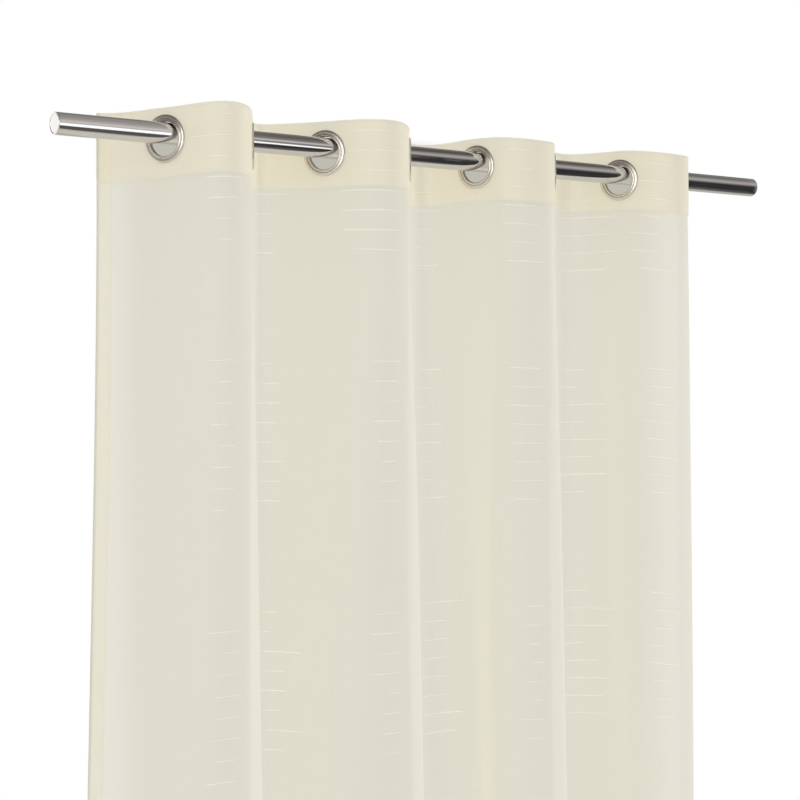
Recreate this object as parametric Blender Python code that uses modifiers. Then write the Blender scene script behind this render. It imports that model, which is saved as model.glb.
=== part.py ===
"""Sheer eyelet curtain hanging in soft, uneven folds from a plain round rod.

The rod lies along X, with its axis at Y = 0, Z = 0 and its middle at X = 0.
The room is on the -Y side. The cloth crosses the rod at each eyelet, forward
(towards -Y) at the first, back (towards +Y) at the second, and so on, so that
the folds stand in turn in front of the rod and behind it. Sizes in the tables
are in millimetres, and angles in degrees.
"""
from collections import namedtuple
from math import cos, pi, radians, sin

import bmesh
import bpy
import numpy as np
from mathutils import Matrix, Vector

MM = 0.001

# Rod
ROD_RADIUS = 12.5
ROD_LENGTH = 1080.0
ROD_SIDES = 40
ROD_EDGE = 1.2

# Cloth, cut flat
EYELET_PITCH = 175.0
SIDE_MARGIN = EYELET_PITCH / 2
PANEL_DROP = 2400.0
PANEL_THICKNESS = 1.2
TOP_EDGE = 30.0

# Stiff tape behind the panel's top
TAPE_HEIGHT = 74.0
TAPE_INSET = 1.5
TAPE_THICKNESS = 1.0

# Eyelets: a flanged front with a barrel, and a washer behind the cloth
FLANGE_RADIUS = 27.5
BORE_RADIUS = 19.5
BARREL_RADIUS = 20.8
HOLE_RADIUS = 21.2
WASHER_BORE = 21.1
RIM_DEPTH = 2.4
EYELET_STEPS = 24

# Room between neighbours that touch on the real curtain
SEAT = 0.3

# The cloth is flat across an eyelet: this far each side in the heading, and less lower down
CLAMPED = 28.0
LOOSE = 8.0
HEADING_DEPTH = 80.0
RELEASE_DEPTH = 650.0
DRIFT_DEPTH = 1400.0

# The side margins curl until they lie nearly along the rod, and their corners sag
SIDE_EDGE_ANGLE = 12.0
CORNER_SAG = 2.0

# How finely the cloth is divided
FOLD_COLUMNS = 8
SIDE_COLUMNS = 4
ROW_DEPTHS = (
    0, HEADING_DEPTH, 140, 220, 320, 440, 580, 740, 920, 1120, 1340, 1580, 1840, 2110, PANEL_DROP
)

# Where the cloth crosses the rod, its angle to the rod in the heading and lower down, how far
# that crossing has drifted along and across the rod from DRIFT_DEPTH down, and how far the
# top edge rides up there
Crossing = namedtuple("Crossing", "x slope low_slope drift_x drift_y rise")
CROSSINGS = (
    Crossing(-403.5, 64.5, 68, -22, 6, -0.7),
    Crossing(-289.7, 57.8, 74, 11, -4, 0.7),
    Crossing(-187.1, 60.5, 74, -15, 5, 2.0),
    Crossing(-63.7, 54.6, 79, 18, -6, -0.9),
    Crossing(43.4, 72.0, 93, 21, 3, -0.2),
    Crossing(169.8, 53.0, 69, 20, 5, -0.1),
    Crossing(287.3, 67.0, 72, 0, -5, 2.9),
    Crossing(406.0, 55.0, 62, 9, 4, 0.0),
)

# The fold after each crossing but the last: how far its nose leans towards the end
# with the higher number, and how far the top edge rides up in its middle
Fold = namedtuple("Fold", "lean rise")
FOLDS = (
    Fold(0.77, 2.8),
    Fold(0.04, 3.2),
    Fold(0.36, 1.4),
    Fold(-0.06, -4.2),
    Fold(-0.25, -3.1),
    Fold(-0.28, 1.8),
    Fold(0.15, -4.5),
)

CURVE_STEPS = 48


def smooth(value):
    """Ease from 0 to 1, flat at both ends."""
    value = min(max(value, 0.0), 1.0)
    return value * value * (3 - 2 * value)


def bezier(start, start_handle, end_handle, end):
    """Points on a cubic curve in plan."""
    t = np.linspace(0, 1, CURVE_STEPS + 1)[:, None]
    return (
        (1 - t) ** 3 * start
        + 3 * (1 - t) ** 2 * t * start_handle
        + 3 * (1 - t) * t ** 2 * end_handle
        + t ** 3 * end
    )


def arc_lengths(points):
    """Distance along a plan curve at each of its points."""
    steps = np.linalg.norm(np.diff(points, axis=0), axis=1)
    return np.concatenate(([0.0], np.cumsum(steps)))


def fold_curve(start, start_way, end, end_way, lean, length):
    """A fold between two crossings, its handles stretched until it has the cloth's length."""
    shortest, longest = 1.0, 2 * length
    while longest - shortest > 0.01:
        handle = (shortest + longest) / 2
        points = bezier(
            start,
            start + start_way * handle * (1 + lean),
            end - end_way * handle * (1 - lean),
            end,
        )
        if arc_lengths(points)[-1] < length:
            shortest = handle
        else:
            longest = handle
    return points


def side_curve(start, angle, end_angle, length):
    """A side margin, which bends more and more from one direction to another."""
    angles = angle + (end_angle - angle) * np.linspace(0, 1, CURVE_STEPS) ** 2
    steps = np.column_stack((np.cos(angles), np.sin(angles))) * length / CURVE_STEPS
    return np.vstack((start, start + np.cumsum(steps, axis=0)))


def plan_curve(depth):
    """Flat positions across the cloth and the plan points there, at a depth below the top edge."""
    release = smooth((depth - HEADING_DEPTH) / RELEASE_DEPTH)
    drift = smooth(depth / DRIFT_DEPTH)
    straight = CLAMPED + (LOOSE - CLAMPED) * release
    lines = []
    for index, line in enumerate(CROSSINGS):
        slope = radians(line.slope + (line.low_slope - line.slope) * release)
        angle = slope if index % 2 else -slope
        place = np.array((line.x + line.drift_x * drift, line.drift_y * drift))
        lines.append((place, np.array((cos(angle), sin(angle))), angle))

    pieces = []
    place, way, angle = lines[0]
    outward = side_curve(
        place - way * straight, angle + pi, pi - radians(SIDE_EDGE_ANGLE), SIDE_MARGIN - straight
    )
    pieces.append((-SIDE_MARGIN, outward[::-1]))
    for index, (place, way, angle) in enumerate(lines):
        pieces.append(
            (index * EYELET_PITCH - straight, np.array((place - way * straight, place + way * straight)))
        )
        if index < len(FOLDS):
            end, end_way, _ = lines[index + 1]
            points = fold_curve(
                place + way * straight,
                way,
                end - end_way * straight,
                end_way,
                FOLDS[index].lean,
                EYELET_PITCH - 2 * straight,
            )
            pieces.append((index * EYELET_PITCH + straight, points))
    last = (len(lines) - 1) * EYELET_PITCH + straight
    place, way, angle = lines[-1]
    margin = side_curve(
        place + way * straight, angle, radians(SIDE_EDGE_ANGLE), SIDE_MARGIN - straight
    )
    pieces.append((last, margin))

    flat = np.concatenate([start + arc_lengths(points)[1:] for start, points in pieces])
    plan = np.concatenate([points[1:] for _, points in pieces])
    flat = np.concatenate(([pieces[0][0]], flat))
    plan = np.vstack((pieces[0][1][0], plan))
    return flat, plan


def top_edge_rises():
    """Flat positions of the corners, crossings and fold middles, and the top edge's rise there."""
    knots = [(-SIDE_MARGIN, CROSSINGS[0].rise - CORNER_SAG)]
    for index, line in enumerate(CROSSINGS):
        knots.append((index * EYELET_PITCH, line.rise))
        if index < len(FOLDS):
            knots.append(((index + 0.5) * EYELET_PITCH, FOLDS[index].rise))
    knots.append((len(FOLDS) * EYELET_PITCH + SIDE_MARGIN, CROSSINGS[-1].rise - CORNER_SAG))
    return knots


def lift_at(position):
    """How far the top edge rides up or sags at a flat position."""
    knots = top_edge_rises()
    for (start, low), (end, high) in zip(knots, knots[1:]):
        if position <= end:
            break
    return low + (high - low) * smooth((position - start) / (end - start))


def sheet_columns(inset):
    """Flat positions of a sheet's columns, closest together where it bends."""
    columns = [-SIDE_MARGIN + inset]
    for index in range(len(CROSSINGS)):
        centre = index * EYELET_PITCH
        run = SIDE_COLUMNS if index == 0 else FOLD_COLUMNS
        columns.extend(np.linspace(columns[-1], centre - CLAMPED, run + 1)[1:])
        columns.append(centre + CLAMPED)
    end = (len(CROSSINGS) - 1) * EYELET_PITCH + SIDE_MARGIN - inset
    columns.extend(np.linspace(columns[-1], end, SIDE_COLUMNS + 1)[1:])
    return np.array(columns)


def sheet_row(columns, depth, forward):
    """Places of one row's points, set off to the cloth's front by the given distance."""
    flat, plan = plan_curve(depth)
    way = np.gradient(plan, axis=0)
    way /= np.linalg.norm(way, axis=1)[:, None]
    front = np.column_stack((way[:, 1], -way[:, 0]))
    shifted = plan + front * forward
    x = np.interp(columns, flat, shifted[:, 0])
    y = np.interp(columns, flat, shifted[:, 1])
    return [
        Vector((x[i], y[i], TOP_EDGE - depth + lift_at(columns[i]))) * MM for i in range(len(columns))
    ]


def principled(name, colour, roughness, metallic):
    """A plain Principled material."""
    material = bpy.data.materials.new(name)
    material.use_nodes = True
    shader = material.node_tree.nodes["Principled BSDF"]
    shader.inputs["Base Color"].default_value = (*colour, 1.0)
    shader.inputs["Roughness"].default_value = roughness
    shader.inputs["Metallic"].default_value = metallic
    material.diffuse_color = (*colour, 1.0)
    return material


def add_object(name, mesh, material, collection, parent):
    """An object with its material, in a collection and under a parent."""
    body = bpy.data.objects.new(name, mesh)
    if material is not None:
        mesh.materials.append(material)
    collection.objects.link(body)
    body.parent = parent
    return body


def make_sheet(name, rows, thickness, material, collection, parent):
    """A grid moved onto the folds and given its thickness."""
    columns = len(rows[0])
    mesh = bpy.data.meshes.new(name)
    grid = bmesh.new()
    bmesh.ops.create_grid(grid, x_segments=columns - 1, y_segments=len(rows) - 1, size=1.0)
    for vertex in grid.verts:
        column = round((vertex.co.x + 1) / 2 * (columns - 1))
        row = round((1 - vertex.co.y) / 2 * (len(rows) - 1))
        vertex.co = rows[row][column]
    grid.to_mesh(mesh)
    grid.free()
    mesh.shade_smooth()
    sheet = add_object(name, mesh, material, collection, parent)
    solidify = sheet.modifiers.new("Thickness", "SOLIDIFY")
    solidify.thickness = thickness * MM
    solidify.offset = 0.0
    solidify.use_even_offset = True
    return sheet


def cut_holes(sheet, cutters):
    """Cuts the eyelet holes through a sheet."""
    holes = sheet.modifiers.new("Eyelet holes", "BOOLEAN")
    holes.operation = "DIFFERENCE"
    holes.solver = "EXACT"
    holes.operand_type = "COLLECTION"
    holes.collection = cutters


def eyelet_front_profile():
    """Radius and height of the flanged front: down its outer side, then up through the bore."""
    seat = (PANEL_THICKNESS + TAPE_THICKNESS + SEAT) / 2 + SEAT
    crown = seat + RIM_DEPTH
    end = -crown - SEAT
    return (
        (FLANGE_RADIUS - 2.4, crown),  # top of the rounded flange
        (FLANGE_RADIUS - 0.7, crown - 0.7),
        (FLANGE_RADIUS, seat + 0.5),
        (FLANGE_RADIUS - 0.4, seat),  # rests on the cloth
        (BARREL_RADIUS, seat),
        (BARREL_RADIUS, end + 0.3),
        (BORE_RADIUS + 0.8, end),  # rolled end of the barrel
        (BORE_RADIUS, end + 1.2),
        (BORE_RADIUS, seat),
        (BORE_RADIUS + 0.7, crown - 0.9),  # flared mouth of the bore
        (BORE_RADIUS + 2.2, crown - 0.1),
    )


def eyelet_back_profile():
    """Radius and height of the washer, in the same frame as the front."""
    seat = -(PANEL_THICKNESS + TAPE_THICKNESS + SEAT) / 2 - SEAT
    return (
        (WASHER_BORE, seat),
        (FLANGE_RADIUS - 0.4, seat),
        (FLANGE_RADIUS - 0.3, seat - 0.8),
        (FLANGE_RADIUS - 2.2, seat - RIM_DEPTH),
        (WASHER_BORE, seat - RIM_DEPTH + 0.4),
    )


def eyelet_drop(slope):
    """How far an eyelet's centre hangs below the rod's axis when its bore rests on the rod."""
    depths = []
    facet = cos(pi / EYELET_STEPS)
    for radius, height in eyelet_front_profile():
        if radius >= BARREL_RADIUS:
            continue
        across = np.linspace(-radius, radius, 200) * facet
        from_axis = across * sin(slope) + abs(height) * cos(slope)
        beside = np.abs(from_axis) < ROD_RADIUS
        bore_top = np.sqrt(radius ** 2 * facet ** 2 - across[beside] ** 2)
        rod_top = np.sqrt(ROD_RADIUS ** 2 - from_axis[beside] ** 2)
        depths.append((bore_top - rod_top).min())
    return min(depths) - SEAT


def eyelet_matrix(index):
    """Place of an eyelet: X along the cloth, Y up, Z out of the cloth's front."""
    line = CROSSINGS[index]
    slope = radians(line.slope)
    angle = slope if index % 2 else -slope
    along = Vector((cos(angle), sin(angle), 0.0))
    up = Vector((0.0, 0.0, 1.0))
    out = along.cross(up)
    turn = Matrix((along, up, out)).transposed().to_4x4()
    return Matrix.Translation(Vector((line.x, 0.0, -eyelet_drop(slope))) * MM) @ turn


def turned_mesh(name, profile):
    """A closed profile as a loop of edges, which is turned about its Z axis."""
    mesh = bpy.data.meshes.new(name)
    points = [(radius * MM, 0.0, height * MM) for radius, height in profile]
    edges = [(i, (i + 1) % len(points)) for i in range(len(points))]
    mesh.from_pydata(points, edges, [])
    return mesh


def add_turned(name, mesh, matrix, collection, parent):
    """A turned piece at its place."""
    piece = add_object(name, mesh, None, collection, parent)
    piece.matrix_world = matrix
    screw = piece.modifiers.new("Turn", "SCREW")
    screw.axis = "Z"
    screw.angle = 2 * pi
    screw.steps = EYELET_STEPS
    screw.render_steps = EYELET_STEPS
    screw.use_merge_vertices = True
    screw.merge_threshold = 0.0001
    screw.use_smooth_shade = True
    return piece


def make_rod(material, collection, parent):
    """The rod: a cylinder along X with its end edges broken."""
    mesh = bpy.data.meshes.new("rod")
    shape = bmesh.new()
    bmesh.ops.create_cone(
        shape,
        cap_ends=True,
        segments=ROD_SIDES,
        radius1=ROD_RADIUS * MM,
        radius2=ROD_RADIUS * MM,
        depth=ROD_LENGTH * MM,
        matrix=Matrix.Rotation(pi / 2, 4, "Y"),
    )
    shape.to_mesh(mesh)
    shape.free()
    rod = add_object("rod", mesh, material, collection, parent)
    mesh.shade_smooth()
    mesh.set_sharp_from_angle(angle=radians(35))
    bevel = rod.modifiers.new("End edges", "BEVEL")
    bevel.width = ROD_EDGE * MM
    bevel.segments = 1
    bevel.limit_method = "ANGLE"
    bevel.angle_limit = radians(60)
    return rod


def make_cutters(collection):
    """One drill for each eyelet hole, through the panel and the tape."""
    for index in range(len(CROSSINGS)):
        mesh = bpy.data.meshes.new(f"eyelet_hole_{index + 1}")
        drill = bmesh.new()
        bmesh.ops.create_cone(
            drill,
            cap_ends=True,
            segments=EYELET_STEPS,
            radius1=HOLE_RADIUS * MM,
            radius2=HOLE_RADIUS * MM,
            depth=FLANGE_RADIUS * MM,
        )
        drill.to_mesh(mesh)
        drill.free()
        cutter = add_object(mesh.name, mesh, None, collection, None)
        cutter.matrix_world = eyelet_matrix(index)
        cutter.display_type = "WIRE"
        cutter.hide_render = True


def main():
    for item in list(bpy.data.objects):
        bpy.data.objects.remove(item, do_unlink=True)

    curtain = bpy.data.collections.new("eyelet_curtain")
    cutters = bpy.data.collections.new("cutters")
    for collection in (curtain, cutters):
        bpy.context.scene.collection.children.link(collection)
    root = bpy.data.objects.new("curtain_root", None)
    curtain.objects.link(root)

    voile = principled("ivory_voile", (0.76, 0.73, 0.62), 0.85, 0.0)
    tape = principled("heading_tape", (0.78, 0.74, 0.58), 0.9, 0.0)
    nickel = principled("satin_nickel", (0.55, 0.52, 0.48), 0.32, 1.0)
    chrome = principled("polished_chrome", (0.62, 0.62, 0.63), 0.06, 1.0)

    make_rod(chrome, curtain, root)
    make_cutters(cutters)

    apart = (PANEL_THICKNESS + TAPE_THICKNESS + SEAT) / 2
    panel_rows = [
        sheet_row(sheet_columns(0.0), depth, apart - PANEL_THICKNESS / 2) for depth in ROW_DEPTHS
    ]
    panel = make_sheet("panel", panel_rows, PANEL_THICKNESS, voile, curtain, root)
    cut_holes(panel, cutters)

    tape_rows = [
        sheet_row(sheet_columns(TAPE_INSET), depth, TAPE_THICKNESS / 2 - apart)
        for depth in (TAPE_INSET, TAPE_INSET + TAPE_HEIGHT)
    ]
    heading = make_sheet("heading_tape", tape_rows, TAPE_THICKNESS, tape, curtain, root)
    cut_holes(heading, cutters)

    front = turned_mesh("eyelet_front", eyelet_front_profile())
    back = turned_mesh("eyelet_back", eyelet_back_profile())
    for mesh in (front, back):
        mesh.materials.append(nickel)
    for index in range(len(CROSSINGS)):
        matrix = eyelet_matrix(index)
        add_turned(f"eyelet_{index + 1}_front", front, matrix, curtain, root)
        add_turned(f"eyelet_{index + 1}_back", back, matrix, curtain, root)


main()
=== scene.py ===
"""Looks of a sheer eyelet curtain on its rod: voile, heading tape, weft dashes, sewing, eyelets.

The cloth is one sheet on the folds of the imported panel, with its turned top, side hems and
bottom hem. Sizes in the tables are in millimetres and angles in degrees; a flat position runs
across the cut cloth from the first eyelet, and a depth runs down from the top edge.
"""
from collections import namedtuple
from math import ceil, cos, pi, radians, sin, tau

import bpy
import numpy as np
from mathutils import Matrix, Vector


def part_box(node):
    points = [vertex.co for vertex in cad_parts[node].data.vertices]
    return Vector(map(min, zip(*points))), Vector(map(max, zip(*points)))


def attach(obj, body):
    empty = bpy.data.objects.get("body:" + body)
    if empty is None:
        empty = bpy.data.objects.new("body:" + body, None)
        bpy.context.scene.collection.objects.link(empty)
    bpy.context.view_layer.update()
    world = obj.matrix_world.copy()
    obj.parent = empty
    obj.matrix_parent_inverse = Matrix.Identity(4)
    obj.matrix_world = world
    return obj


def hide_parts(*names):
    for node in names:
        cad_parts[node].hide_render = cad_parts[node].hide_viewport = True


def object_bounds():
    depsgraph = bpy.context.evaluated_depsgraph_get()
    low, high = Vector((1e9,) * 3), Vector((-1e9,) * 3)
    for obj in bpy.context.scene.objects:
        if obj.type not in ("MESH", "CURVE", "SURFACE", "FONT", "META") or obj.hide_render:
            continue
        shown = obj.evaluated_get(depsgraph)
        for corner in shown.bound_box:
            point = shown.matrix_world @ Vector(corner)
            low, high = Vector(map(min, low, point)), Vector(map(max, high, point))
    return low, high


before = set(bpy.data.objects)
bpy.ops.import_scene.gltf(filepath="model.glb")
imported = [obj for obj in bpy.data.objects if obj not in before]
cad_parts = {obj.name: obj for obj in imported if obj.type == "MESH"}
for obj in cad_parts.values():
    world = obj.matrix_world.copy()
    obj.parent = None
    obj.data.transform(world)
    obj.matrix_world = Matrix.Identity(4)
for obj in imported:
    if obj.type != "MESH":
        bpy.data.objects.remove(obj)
cad_low, cad_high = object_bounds()

MM = 0.001

# Camera, fitted to the eyelets, the rod and the dash rows
CAMERA_PLACE = (-1455.0, -1886.0, -313.0)
CAMERA_YAW = 36.13
CAMERA_PITCH = 0.311
CAMERA_ROLL = -0.298
FOCAL_PIXELS = 1906.0
IMAGE_WIDTH = 800
SENSOR_WIDTH = 36.0

# Rod and cloth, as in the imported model
ROD_RADIUS = 12.5
ROD_EDGE = 0.9
ROD_STEPS = 128
EYELET_PITCH = 175.0
SIDE_MARGIN = EYELET_PITCH / 2
PANEL_DROP = 2400.0
TOP_EDGE = 30.0
TAPE_HEIGHT = 74.0
TAPE_INSET = 1.5
CLAMPED = 28.0
LOOSE = 8.0
HEADING_DEPTH = 80.0
RELEASE_DEPTH = 650.0
DRIFT_DEPTH = 1400.0
SIDE_EDGE_ANGLE = 12.0
CORNER_SAG = 2.0
CURVE_STEPS = 48

# Eyelets
FLANGE_RADIUS = 27.5
BORE_RADIUS = 19.5
BARREL_RADIUS = 20.8
HOLE_RADIUS = 21.4
WASHER_BORE = 21.1
SEAT_HEIGHT = 1.55
RIM_DEPTH = 2.4
EYELET_STEPS = 96
FLANGE_GAP = 0.12
BARREL_PAST_SEAT = 0.9
LIP_RADIUS = 1.5

# The flange's dome: where its crest stands, its height over its foot, and its reach to each side
CREST_RADIUS = 23.90
CREST_HEIGHT = 1.75
CREST_FOOT = 0.4
CREST_INWARD = 1.30
CREST_OUTWARD = 3.59

# Radius and height of the groove between the dome and the lip
FLANGE_GROOVE = ((22.10, 1.55), (22.30, 1.33), (22.50, 1.24))

# Layers of the heading, front to back, off the middle of the cloth
FRONT_LAYER = 0.95
BACK_LAYER = -1.15
TURNED_TOP = 78.0
GROOVE_WIDTH = 3.2
GROOVE_DEPTH = 0.5
HEM_LAYER = -0.7
SIDE_HEM = 18.0
BOTTOM_HEM = 40.0

# Sewing: length of a stitch with its gap, the gap, and how high the thread lies on the heading
# and on the hems
STITCH_PITCH = 3.2
STITCH_GAP = 0.7
HEADING_THREAD = 0.14
HEM_THREAD = 0.12
STITCH_SEED = 17
DASH_SEED = 41

# Distance between the voile's threads, in metres
VOILE_WARP = 0.00062
VOILE_WEFT = 0.00070

# Where the cloth crosses the rod, its angle to the rod in the heading and lower down, how far
# that crossing has drifted along and across the rod from DRIFT_DEPTH down, and how far the
# top edge rides up there
Crossing = namedtuple("Crossing", "x slope low_slope drift_x drift_y rise")
CROSSINGS = (
    Crossing(-403.5, 64.5, 68, -22, 6, -0.7),
    Crossing(-289.7, 57.8, 74, 11, -4, 0.7),
    Crossing(-187.1, 60.5, 74, -15, 5, 2.0),
    Crossing(-63.7, 54.6, 79, 18, -6, -0.9),
    Crossing(43.4, 72.0, 93, 21, 3, -0.2),
    Crossing(169.8, 53.0, 69, 20, 5, -0.1),
    Crossing(287.3, 67.0, 72, 0, -5, 2.9),
    Crossing(406.0, 55.0, 62, 9, 4, 0.0),
)

# The fold after each crossing but the last: how far its nose leans towards the end
# with the higher number, and how far the top edge rides up in its middle
Fold = namedtuple("Fold", "lean rise")
FOLDS = (
    Fold(0.77, 2.8),
    Fold(0.04, 3.2),
    Fold(0.36, 1.4),
    Fold(-0.06, -4.2),
    Fold(-0.25, -3.1),
    Fold(-0.28, 1.8),
    Fold(0.15, -4.5),
)

# Soft troughs and ridges: flat position, half width, height (troughs are negative),
# the depths between which it lies, and how far it wanders across on the way down
Crease = namedtuple("Crease", "flat width height top bottom wander")
CREASES = (
    Crease(-40, 14, 1.2, 120, 1500, 6),
    Crease(24, 18, -1.6, 95, 900, 8),
    Crease(118, 12, 1.4, 110, 1300, -6),
    Crease(205, 16, -1.3, 150, 2100, 9),
    Crease(318, 20, 1.7, 100, 1100, -8),
    Crease(372, 15, -1.2, 220, 1800, 6),
    Crease(476, 11, 1.3, 95, 700, 5),
    Crease(548, 17, -1.5, 180, 2000, -7),
    Crease(668, 18, 1.6, 110, 1250, 8),
    Crease(722, 13, -1.1, 300, 1700, -5),
    Crease(822, 12, 1.2, 100, 900, 6),
    Crease(905, 16, -1.4, 240, 2200, -9),
    Crease(1046, 15, 1.5, 120, 1000, 7),
    Crease(1150, 13, -1.2, 95, 1400, -6),
    Crease(1262, 14, 1.2, 200, 1900, 5),
)

# The rows of raised dashes in each column across the cloth, as their start and end on the flat
# cloth: the group at the top edge, then the two groups that follow each other down the cloth
NO_DASH = None
DASH_CHART = (
    (
        (NO_DASH, (67, 87), (31, 87), (55, 78), (51, 99), (55, 94), (59, 84), (65, 84)),
        ((52, 90), (65, 86), (60, 92), (56, 82), (66, 92), (61, 86), (62, 93), (61, 77)),
        ((55, 103), (76, 100), (69, 97), (64, 104), (70, 103), (61, 104), (65, 100), (58, 100)),
    ),
    (
        (NO_DASH, NO_DASH, NO_DASH, NO_DASH, (256, 302), (254, 282), (254, 285), (254, 282)),
        ((264, 280), (264, 290), (256, 290), (252, 285), (253, 281), (262, 295), (261, 290), (253, 290)),
        ((264, 285), (263, 279), (263, 324), (263, 298), (264, 301), (264, 294), (270, 325), (264, 296)),
    ),
    (
        (NO_DASH, (384, 437), (378, 443), (388, 445), (370, 447), (370, 450), (369, 450), (390, 445)),
        ((408, 450), (410, 450), (426, 450), (410, 450), (415, 451), (422, 448), (418, 449), (421, 456)),
        ((413, 457), (410, 460), (418, 458), (410, 458), (436, 458), (430, 456), (426, 459), (425, 459)),
    ),
    (
        (NO_DASH, NO_DASH, NO_DASH, (606, 638), (602, 644), (600, 639), (599, 625), (594, 644)),
        ((612, 646), (612, 630), (600, 624), (608, 646), (598, 644), (606, 628), (607, 628), (607, 649)),
        ((609, 667), (607, 642), (606, 645), (599, 645), (598, 644), (597, 644), (597, 664), (594, 656)),
    ),
    (
        (NO_DASH, (743, 778), (754, 776), (740, 765), (739, 786), (732, 790), (748, 786), (737, 797)),
        ((742, 789), (743, 795), (738, 794), (742, 793), (744, 794), (746, 788), (747, 792), (747, 786)),
        ((762, 788), (752, 789), (762, 786), (767, 792), (759, 787), (765, 784), (750, 785), (756, 783)),
    ),
    (
        (NO_DASH, NO_DASH, (958, 1000), (959, 1015), (956, 1050), (956, 1040), (956, 1050), (956, 1032)),
        (
            (967, 998), (967, 991), (965, 1030), (954, 1002),
            (961, 1030), (956, 1008), (954, 1030), (953, 1002),
        ),
        (
            (966, 1003), (968, 1047), (962, 1028), (964, 995),
            (962, 1014), (964, 1028), (961, 1026), (964, 1027),
        ),
    ),
    (
        (
            NO_DASH, (1091, 1130), (1074, 1114), (1086, 1128),
            (1081, 1109), (1058, 1107), (1063, 1107), (1075, 1130),
        ),
        (
            (1089, 1132), (1090, 1136), (1088, 1130), (1079, 1128),
            (1084, 1114), (1087, 1136), (1093, 1130), (1089, 1138),
        ),
        (
            (1086, 1126), (1091, 1138), (1093, 1130), (1090, 1109),
            (1086, 1134), (1090, 1140), (1092, 1128), (1090, 1126),
        ),
    ),
    (
        (
            NO_DASH, (1268, 1292), (1261, 1297), (1270, 1290),
            (1262, 1301), (1266, 1296), (1258, 1288), (1265, 1299),
        ),
        (
            (1263, 1295), (1268, 1290), (1260, 1298), (1266, 1292),
            (1264, 1302), (1270, 1294), (1261, 1289), (1266, 1297),
        ),
        (
            (1262, 1291), (1267, 1300), (1265, 1288), (1259, 1296),
            (1269, 1299), (1262, 1287), (1266, 1304), (1263, 1293),
        ),
    ),
)
DASH_SPACING = 23.49
DASH_FIRST_DEPTH = 288.3
DASH_PERIOD = 12.66 * DASH_SPACING

# How far the weft rows have slipped down in each column, at these depths
SLIP_DEPTHS = (14, 155, 290, 450, 590, 750)
WEFT_SLIPS = (
    (0.0, -1.5, 0.4, 3.0, 6.7, 10.8),
    (0.0, 0.0, 0.8, 1.7, 2.9, 4.2),
    (-0.9, -1.3, -2.2, -0.3, 0.8, 3.9),
    (0.0, -1.2, -0.9, -1.9, -1.0, -0.2),
    (0.0, -1.2, 0.0, 0.4, 1.9, 4.0),
    (1.5, 2.1, 3.3, 3.3, 3.6, 4.4),
    (1.5, 1.0, 0.0, -0.9, -0.4, -1.4),
    (0.6, 0.5, 0.2, 0.0, -0.6, -1.2),
)


def smooth(value):
    """Ease from 0 to 1, flat at both ends, for numbers and arrays."""
    value = np.clip(value, 0.0, 1.0)
    return value * value * (3 - 2 * value)


def bezier(start, start_handle, end_handle, end):
    """Points on a cubic curve in plan."""
    t = np.linspace(0, 1, CURVE_STEPS + 1)[:, None]
    return (
        (1 - t) ** 3 * start
        + 3 * (1 - t) ** 2 * t * start_handle
        + 3 * (1 - t) * t ** 2 * end_handle
        + t ** 3 * end
    )


def arc_lengths(points):
    """Distance along a plan curve at each of its points."""
    steps = np.linalg.norm(np.diff(points, axis=0), axis=1)
    return np.concatenate(([0.0], np.cumsum(steps)))


def fold_curve(start, start_way, end, end_way, lean, length):
    """A fold between two crossings, its handles stretched until it has the cloth's length."""
    shortest, longest = 1.0, 2 * length
    while longest - shortest > 0.01:
        handle = (shortest + longest) / 2
        points = bezier(
            start,
            start + start_way * handle * (1 + lean),
            end - end_way * handle * (1 - lean),
            end,
        )
        if arc_lengths(points)[-1] < length:
            shortest = handle
        else:
            longest = handle
    return points


def side_curve(start, angle, end_angle, length):
    """A side margin, which bends more and more from one direction to another."""
    angles = angle + (end_angle - angle) * np.linspace(0, 1, CURVE_STEPS) ** 2
    steps = np.column_stack((np.cos(angles), np.sin(angles))) * length / CURVE_STEPS
    return np.vstack((start, start + np.cumsum(steps, axis=0)))


def plan_curve(depth):
    """Flat positions, plan points and front directions of the cloth at a depth."""
    release = smooth((depth - HEADING_DEPTH) / RELEASE_DEPTH)
    drift = smooth(depth / DRIFT_DEPTH)
    straight = CLAMPED + (LOOSE - CLAMPED) * release
    lines = []
    for index, line in enumerate(CROSSINGS):
        slope = radians(line.slope + (line.low_slope - line.slope) * release)
        angle = slope if index % 2 else -slope
        place = np.array((line.x + line.drift_x * drift, line.drift_y * drift))
        lines.append((place, np.array((cos(angle), sin(angle))), angle))

    place, way, angle = lines[0]
    margin = SIDE_MARGIN - straight
    first = side_curve(place - way * straight, angle + pi, pi - radians(SIDE_EDGE_ANGLE), margin)
    pieces = [(-SIDE_MARGIN, first[::-1])]
    for index, (place, way, angle) in enumerate(lines):
        flat_stretch = np.array((place - way * straight, place + way * straight))
        pieces.append((index * EYELET_PITCH - straight, flat_stretch))
        if index < len(FOLDS):
            end, end_way, _ = lines[index + 1]
            points = fold_curve(
                place + way * straight,
                way,
                end - end_way * straight,
                end_way,
                FOLDS[index].lean,
                EYELET_PITCH - 2 * straight,
            )
            pieces.append((index * EYELET_PITCH + straight, points))
    place, way, angle = lines[-1]
    last = side_curve(place + way * straight, angle, radians(SIDE_EDGE_ANGLE), margin)
    pieces.append((len(FOLDS) * EYELET_PITCH + straight, last))

    flat = np.concatenate([start + arc_lengths(points)[1:] for start, points in pieces])
    plan = np.concatenate([points[1:] for _, points in pieces])
    flat = np.concatenate(([pieces[0][0]], flat))
    plan = np.vstack((pieces[0][1][0], plan))
    way = np.gradient(plan, axis=0)
    way /= np.linalg.norm(way, axis=1)[:, None]
    return flat, plan, np.column_stack((way[:, 1], -way[:, 0]))


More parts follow.
